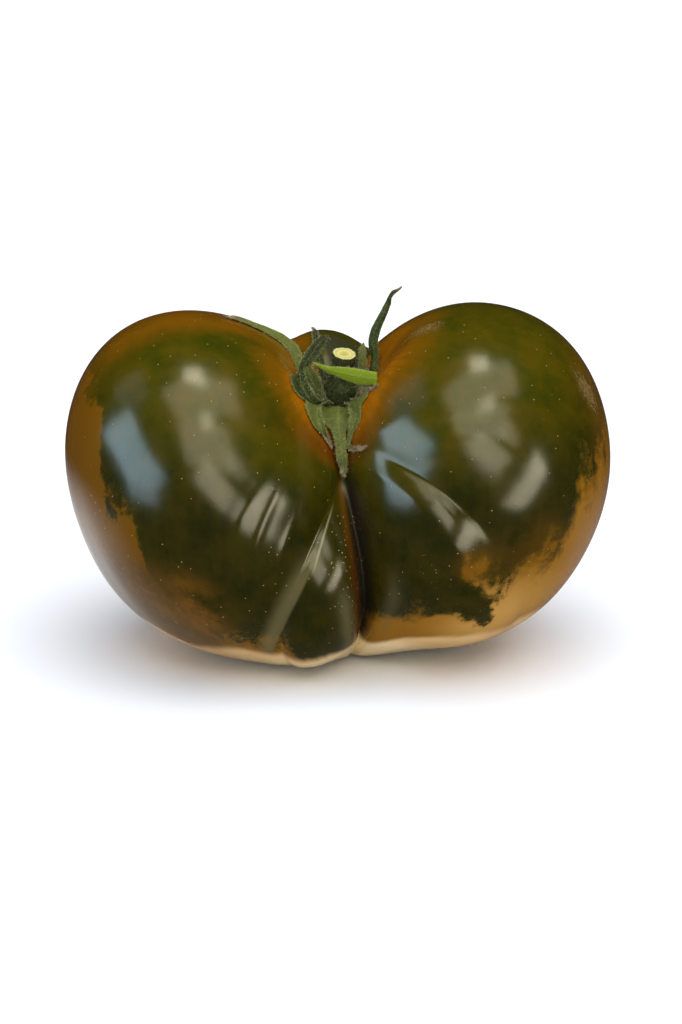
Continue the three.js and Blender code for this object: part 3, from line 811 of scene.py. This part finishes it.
# Fine pale hairs stand on the sepals and the stalk, bent towards the tips.
HAIRS_PER_BLADE = 480
HAIRS_ON_STALK = 280
HAIR_RADIUS = 0.018
HAIR_LENGTHS = (0.25, 0.75)
HAIR_SPREAD = 0.35
HAIR_BEND = 0.35
HAIR_LEAN_ON_BLADE = 0.45
HAIR_LEAN_ON_STALK = 0.2
HAIR_ROOT_DEPTH = 0.05
HAIR_WAIST = 0.7
ASKEW = [0.31, 0.52, 0.79]


def make_hairs(name, feet, away, seed):
    """Thin bent cones on the given feet, each along its own way out; three sides and a middle ring."""
    draw = np.random.default_rng(seed)
    count = len(feet)
    length = draw.uniform(*HAIR_LENGTHS, count)[:, None] * draw.uniform(0.5, 1, count)[:, None]
    way = unit(away + HAIR_SPREAD * draw.normal(size=(count, 3)))
    bend = HAIR_BEND * draw.normal(size=(count, 3))
    side = unit(np.cross(way, ASKEW))
    other = np.cross(way, side)
    middle = feet + way * length * 0.5
    tip = feet + unit(way + bend) * length
    corners = []
    root = feet - way * HAIR_ROOT_DEPTH
    for centre, radius in ((root, HAIR_RADIUS), (middle, HAIR_RADIUS * HAIR_WAIST)):
        for step in range(3):
            angle = step * 2 * math.pi / 3
            corners.append(centre + radius * (side * math.cos(angle) + other * math.sin(angle)))
    vertices = np.stack([*corners, tip], 1).reshape(-1, 3)
    shape = [(0, 1, 4, 3), (1, 2, 5, 4), (2, 0, 3, 5)]
    caps = [(0, 2, 1), (3, 4, 6), (4, 5, 6), (5, 3, 6)]
    offset = 7 * np.arange(count)[:, None, None]
    quads = (np.array(shape)[None] + offset).reshape(-1, 4)
    triangles = (np.array(caps)[None] + offset).reshape(-1, 3)
    height = np.tile([0, 0, 0, 0.5, 0.5, 0.5, 1], count)
    return new_mesh(name, vertices, quads, triangles, {"up": height})


def hairs_on_blade(name, seed, rings, away, tangent):
    draw = np.random.default_rng(seed)
    ring = draw.integers(8, BLADE_RINGS - 1, HAIRS_PER_BLADE)
    side = draw.integers(0, BLADE_SIDES, HAIRS_PER_BLADE)
    way = away[ring, side] + HAIR_LEAN_ON_BLADE * tangent[ring]
    return make_hairs(name, rings[ring, side], way, seed + 1)


# The sepals and the stalk shine less than the skin. Colours are 0 to 255, from the darkest tone to the
# brightest.
LEAF_SHINE = 0.12
# Painted light and shade: the brightest tone is the green of a sepal in full light from above, the darkest
# that of one in shade.
LEAF_TONES = {0.05: (22, 30, 7), 0.3: (46, 60, 16), 0.55: (92, 98, 42), 0.95: (118, 140, 10)}
LEAF = dict(midrib=(120, 128, 66), edge=(134, 140, 70), grain=(140, 140, 90),
            withered=((84, 70, 52), (150, 128, 100)))
HAIR = dict(root=((150, 158, 92), (206, 206, 160)), tip=(214, 206, 176))


def leaf_material():
    g = Graph("sepal_green")
    place = g.place()
    mottle = g.noise(place, scale=0.6, detail=5.0, roughness=0.65)
    grain = g.noise(place, scale=3.5, detail=4.0, roughness=0.6)
    uneven = g.times(g.math("SUBTRACT", mottle, 0.5), 0.5)
    colour = g.ramp(g.add(g.field("tone_and_light"), uneven), LEAF_TONES)
    midrib = g.band(g.math("ABSOLUTE", g.field("across")), 0.12, 0.02)
    colour = g.layer(colour, midrib, LEAF["midrib"], 0.25)
    colour = g.layer(colour, g.field("edge"), LEAF["edge"], 0.5)
    colour = g.layer(colour, g.band(grain, 0.5, 0.75), LEAF["grain"], 0.25)
    dry = g.math("MULTIPLY", g.field("dry"), g.band(grain, 0.25, 0.5), clamp=True)
    withered = g.blend(g.band(mottle, 0.4, 0.6), *LEAF["withered"])
    colour = g.mix(g.times(dry, 0.85), colour, withered)
    g.put(g.shader, "Base Color", colour)
    g.put(g.shader, "Roughness", g.add(0.45, g.times(grain, 0.3)))
    g.put(g.shader, "Specular IOR Level", LEAF_SHINE)
    g.bump(grain, strength=0.6, distance=0.12 * MM)
    return g.material


def hair_material():
    g = Graph("fine_hair")
    tint = g.noise(g.place(), scale=1.5, detail=2.0, roughness=0.5)
    colour = g.blend(g.band(tint, 0.4, 0.6), *HAIR["root"])
    g.put(g.shader, "Base Color", g.layer(colour, g.field("up"), HAIR["tip"]))
    g.put(g.shader, "Roughness", g.add(0.4, g.times(tint, 0.2)))
    return g.material


# The stalk's stub: radii and heights along its axis, up to a dished cut that leans forward.
STALK_PROFILE = [(2.2, 0), (3.1, 0.8), (3.3, 1.9), (3.0, 3.3), (2.3, 4.7), (2, 6)]
STALK_RINGS = 90
STALK_SIDES = 72
CUT_RADIUS, CUT_RINGS = 2.1, 13
CUT_LEAN, CUT_LEAN_START = 0.16, 0.7
CUT_DISH, PITH_DEPTH, PITH_WIDTH = 0.12, 0.1, 0.3
CUT_MIDDLE_SHARE, CUT_MIDDLE_DEPTH = 0.08, 0.24
# Flutes run up the stub: how deep, how many and where they start.
STALK_FLUTES = [(0.02, 9, 1), (0.015, 17, 2)]
STALK_LUMPS = dict(length=1.8, height=0.05, seed=71)
STALK_HAIR_SEED = 5


def make_stalk():
    length = np.linalg.norm(STALK_TOP - STALK_FOOT)
    dense, run = smooth_path([(r, h, 0) for r, h in STALK_PROFILE] + [(CUT_RADIUS, length, 0)])
    places = np.linspace(0, run[-1], STALK_RINGS)
    face = np.linspace(1, CUT_MIDDLE_SHARE, CUT_RINGS + 1)[1:]
    radius = np.concatenate([np.interp(places, run, dense[:, 0]), CUT_RADIUS * face])
    dish = -CUT_DISH * (1 - face) - PITH_DEPTH * bell(face, PITH_WIDTH)
    height = np.concatenate([np.interp(places, run, dense[:, 1]), length + dish])
    on_cut = np.concatenate([np.zeros(STALK_RINGS), np.ones(len(face))])
    turn = np.linspace(0, 2 * math.pi, STALK_SIDES, endpoint=False)
    axis = unit(STALK_TOP - STALK_FOOT)
    aside = unit(np.cross(axis, [0, 1, 0]))
    beyond = np.cross(axis, aside)
    ring = np.cos(turn)[:, None] * aside + np.sin(turn)[:, None] * beyond
    flutes = 1 + sum(depth * np.sin(turn * count + start) for depth, count, start in STALK_FLUTES)
    points = STALK_FOOT + axis * height[:, None, None] + ring * (radius[:, None] * flutes)[..., None]
    lumps = STALK_LUMPS["height"] * waves(points, STALK_LUMPS["length"], STALK_LUMPS["seed"])
    points = points + lumps[..., None] * unit(points - STALK_FOOT)
    near_cut = smooth_step((height / length - CUT_LEAN_START) / (1 - CUT_LEAN_START))[:, None]
    points[..., 2] += CUT_LEAN * near_cut * (points[..., 1] - STALK_TOP[1])
    ends = np.stack([STALK_FOOT, STALK_FOOT + axis * (length - CUT_MIDDLE_DEPTH)])
    rings = {"up": (height / length, [0, 1]), "cut": (on_cut, [0, 1]), "rim": (radius / CUT_RADIUS, [1, 0])}
    fields = {name: np.append(np.repeat(values, STALK_SIDES), caps) for name, (values, caps) in rings.items()}
    vertices = np.vstack([points.reshape(-1, 3), ends]) - [0, 0, SETTLED]
    quads, fans = tube_faces(len(radius), STALK_SIDES)
    stub = new_mesh("stalk_stub", vertices, quads, fans, fields)
    draw = np.random.default_rng(STALK_HAIR_SEED)
    up_stem = draw.integers(4, STALK_RINGS - 2, HAIRS_ON_STALK)
    round_stem = draw.integers(0, STALK_SIDES, HAIRS_ON_STALK)
    feet = points[up_stem, round_stem] - [0, 0, SETTLED]
    away = ring[round_stem] + HAIR_LEAN_ON_STALK * axis
    return stub, make_hairs("stalk_hairs", feet, away, STALK_HAIR_SEED + 1)


STALK_SKIN = dict(mottle=((28, 36, 14), (62, 70, 34)), under_cut=(70, 70, 34))
# The cut's rings of colour, from its middle to its rim.
PITH_RINGS = {
    0.1: (178, 168, 88), 0.35: (188, 180, 98), 0.55: (208, 202, 134), 0.7: (184, 176, 90),
    0.9: (206, 202, 140), 1.0: (140, 142, 50),
}


def stalk_material():
    g = Graph("stalk_green")
    grain = g.noise(g.place(), scale=2.2, detail=5.0, roughness=0.65)
    skin = g.blend(g.band(grain, 0.35, 0.65), *STALK_SKIN["mottle"])
    skin = g.layer(skin, g.band(g.field("up"), 0.85, 1.0), STALK_SKIN["under_cut"])
    uneven = g.times(g.math("SUBTRACT", grain, 0.5), 0.5)
    pith = g.ramp(g.add(g.field("rim"), uneven), PITH_RINGS)
    g.put(g.shader, "Base Color", g.mix(g.field("cut"), skin, pith))
    g.put(g.shader, "Roughness", g.add(0.45, g.times(grain, 0.3)))
    g.put(g.shader, "Specular IOR Level", LEAF_SHINE)
    g.bump(grain, strength=0.6, distance=0.15 * MM)
    return g.material


def dress(piece, material, node):
    piece.data.materials.append(material)
    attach(piece, "root")
    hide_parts(node)


dress(make_fruit(), fruit_material(), "fruit")
leaf, hair = leaf_material(), hair_material()
dress(make_disc(), leaf, "calyx")
for number, (sepal_name, sepal) in enumerate(SEPALS.items()):
    blade, rings, away, tangent = make_blade("sepal_" + sepal_name, 31 * number + 5, sepal)
    dress(blade, leaf, "calyx")
    dress(hairs_on_blade("hairs_" + sepal_name, number, rings, away, tangent), hair, "calyx")
stalk_stub, stalk_hairs = make_stalk()
dress(stalk_stub, stalk_material(), "pedicel")
dress(stalk_hairs, hair, "pedicel")


# The camera stands where the photograph's did. From here on lengths are in metres, and angles in degrees.
LOOK_AT = Vector((0.5, -2, 26.5)) * MM
CAMERA_ELEVATION = 18
CAMERA_DISTANCE = 0.469
CAMERA_LENS = 90
CAMERA_SENSOR = 36
CAMERA_CLIP = (0.01, 20)


def outward(azimuth, elevation):
    """Direction from the fruit: azimuth 0 is towards the camera and 90 towards +X, in degrees."""
    a, e = math.radians(azimuth), math.radians(elevation)
    return Vector((math.sin(a) * math.cos(e), -math.cos(a) * math.cos(e), math.sin(e)))


def make_camera():
    data = bpy.data.cameras.new("camera")
    data.lens = CAMERA_LENS
    data.sensor_width = CAMERA_SENSOR
    data.clip_start, data.clip_end = CAMERA_CLIP
    camera = add_object("camera", data)
    back = outward(0, CAMERA_ELEVATION)
    camera.location = LOOK_AT + back * CAMERA_DISTANCE
    camera.rotation_euler = (-back).to_track_quat("-Z", "Y").to_euler()
    bpy.context.scene.camera = camera


# Soft light panels, seen in the skin's gloss only: the sun and the sky light the colours. In each row are
# the azimuth, the elevation, the width, the height and the roll as seen from the fruit, in degrees, then the
# radiance.
PANEL_DISTANCE = 2.5
COOL = (0.58, 0.84, 1.0)
WARM = (1.0, 0.92, 0.68)
GLOSS_PANELS = {
    "left_window": (-68, 14, 46, 32, -28, 6.0, COOL),
    "upper_left_window": (-98, 44, 24, 24, 0, 0.6, COOL),
    "front_window": (6, 46, 42, 28, 0, 3.2, WARM),
    "front_lower": (8, 19, 30, 22, -47, 5.2, WARM),
    "ceiling": (22, 78, 50, 30, 0, 2.6, WARM),
    "right_window": (50, 3, 32, 17, 36, 9.0, WARM),
    "high_lamp": (16, 61, 10, 10, 0, 8.0, WARM),
    "top_lamp": (180, 85, 12, 12, 0, 10.0, WARM),
    "side_lamp": (34, 34, 12, 16, 20, 3.0, WARM),
}
# Strips of light on the table beside the fruit, seen in its lower gloss, from near to far. wide is a strip's
# width at the near end, and spread is how much wider each side gets for each metre.
TABLE_LIGHTS = {
    "right_table": dict(
        near=(0.07, -0.125), far=(1.6, -1.7), wide=0.04, spread=0.27, radiance=9.0, colour=WARM),
    "left_table": dict(
        near=(-0.25, -0.15), far=(-1.9, -1.05), wide=0.1, spread=0.25, radiance=5.0, colour=COOL),
}
TABLE_LIGHT_SIDE_EDGE = 0.1
TABLE_LIGHT_NEAR_EDGE = 0.01
TABLE_LIGHT_FAR_EDGE = 0.1
SUN_STRENGTH = 3.0
SUN_SPREAD = 70
SUN_PLACE = (20, 72)
AMBIENT = (0.42, 0.435, 0.465, 1)
SKY_GLOSS = (0.006, 0.006, 0.006, 1)
WHITE, BLACK = (1, 1, 1, 1), (0, 0, 0, 1)
FLOOR_HALF = 6.0
FLOOR_COLOUR = (0.89, 0.915, 0.955, 1)
# How bright the floor looks in the gloss: dim in front, where the fruit's dark side faces it, and dim far
# away. The bands say where it changes from left to right, from front to back and outwards.
FLOOR_GLOSS = dict(
    front=(0.03, 0.03, 0.035, 1), left=(0.95, 0.94, 0.94, 1), right=(0.25, 0.22, 0.22, 1),
    far=(0.015, 0.015, 0.016, 1), across_band=(-0.05, 0.05), back_band=(-0.04, 0.01), out_band=(0.06, 0.17))
FLOOR_GLOW = (0.02, 0.02, 0.02, 1)


def make_panel(name, azimuth, elevation, wide, tall, roll, radiance, colour):
    away = outward(azimuth, elevation)
    turn = away.to_track_quat("Z", "Y") @ Quaternion((0, 0, 1), math.radians(roll))
    data = bpy.data.lights.new(name, "AREA")
    data.shape = "RECTANGLE"
    half_angles = [math.radians(angle / 2) for angle in (wide, tall)]
    data.size, data.size_y = [2 * PANEL_DISTANCE * math.tan(angle) for angle in half_angles]
    data.energy = 4 * radiance * data.size * data.size_y
    data.color = colour
    light = add_object(name, data)
    light.location = LOOK_AT + away * PANEL_DISTANCE
    light.rotation_euler = turn.to_euler()
    light.visible_diffuse = False
    light.visible_camera = False


def lay_table_light(g, glow, at, near, far, wide, spread, radiance, colour):
    """The floor's glow with one more strip of light on it."""
    run = Vector(far) - Vector(near)
    way = run.normalized()
    from_near = g.vector("SUBTRACT", {0: at, 1: (*near, 0)})

    def distance(direction):
        return g.vector("DOT_PRODUCT", {0: from_near, 1: (*direction, 0)}, "Value")

    along = distance(way)
    half = g.add(wide / 2, g.times(along, spread))
    beside = g.math("DIVIDE", g.math("ABSOLUTE", distance((-way.y, way.x))), half)
    inside = g.band(beside, 1 + TABLE_LIGHT_SIDE_EDGE, 1 - TABLE_LIGHT_SIDE_EDGE)
    inside = g.times(inside, g.band(along, -TABLE_LIGHT_NEAR_EDGE, TABLE_LIGHT_NEAR_EDGE))
    inside = g.times(inside, g.band(along, run.length, run.length - TABLE_LIGHT_FAR_EDGE))
    return g.mix(inside, glow, (*(part * radiance for part in colour), 1))


def make_sun():
    data = bpy.data.lights.new("ceiling_glow", "SUN")
    data.energy = SUN_STRENGTH
    data.angle = math.radians(SUN_SPREAD)
    light = add_object("ceiling_glow", data)
    light.rotation_euler = outward(*SUN_PLACE).to_track_quat("Z", "Y").to_euler()
    light.visible_glossy = False


def make_floor():
    corners = [(-1, -1, 0), (1, -1, 0), (1, 1, 0), (-1, 1, 0)]
    floor = new_mesh("floor", np.array(corners) * FLOOR_HALF / MM, [(0, 1, 2, 3)])
    g = Graph("floor_paper")
    in_gloss = g.node("ShaderNodeLightPath", output="Is Glossy Ray")
    seen = g.node("ShaderNodeLightPath", output="Is Camera Ray")
    at = g.node("ShaderNodeTexCoord", output="Object")
    across = g.node("ShaderNodeSeparateXYZ", {0: at}, output="X")
    back = g.node("ShaderNodeSeparateXYZ", {0: at}, output="Y")
    out = g.vector("LENGTH", {0: at}, "Value")
    glossy = g.mix(g.band(across, *FLOOR_GLOSS["across_band"]), FLOOR_GLOSS["left"], FLOOR_GLOSS["right"])
    glossy = g.mix(g.band(back, *FLOOR_GLOSS["back_band"]), FLOOR_GLOSS["front"], glossy)
    glossy = g.mix(g.band(out, *FLOOR_GLOSS["out_band"]), glossy, FLOOR_GLOSS["far"])
    g.put(g.shader, "Base Color", g.mix(in_gloss, FLOOR_COLOUR, glossy))
    g.put(g.shader, "Roughness", 1.0)
    g.put(g.shader, "Specular IOR Level", 0.0)
    glow = BLACK
    for light in TABLE_LIGHTS.values():
        glow = lay_table_light(g, glow, at, **light)
    glow = g.mix(in_gloss, BLACK, glow)
    g.put(g.shader, "Emission Color", g.mix(seen, glow, FLOOR_GLOW))
    g.put(g.shader, "Emission Strength", 1.0)
    floor.data.materials.append(g.material)


def make_world():
    """White where the camera sees it, dark in the gloss, and soft light for the colours."""
    world = bpy.data.worlds.new("studio")
    world.use_nodes = True
    nodes, links = world.node_tree.nodes, world.node_tree.links
    path = nodes.new("ShaderNodeLightPath")
    unseen, seen = nodes.new("ShaderNodeMix"), nodes.new("ShaderNodeMix")
    unseen.data_type = seen.data_type = "RGBA"
    unseen.inputs[6].default_value = AMBIENT
    unseen.inputs[7].default_value = SKY_GLOSS
    seen.inputs[7].default_value = WHITE
    links.new(path.outputs["Is Glossy Ray"], unseen.inputs["Factor"])
    links.new(unseen.outputs[2], seen.inputs[6])
    links.new(path.outputs["Is Camera Ray"], seen.inputs["Factor"])
    links.new(seen.outputs[2], nodes["Background"].inputs["Color"])
    bpy.context.scene.world = world


make_camera()
for panel_name, panel in GLOSS_PANELS.items():
    make_panel(panel_name, *panel)
make_sun()
make_floor()
make_world()
bpy.context.scene.view_settings.view_transform = "Standard"
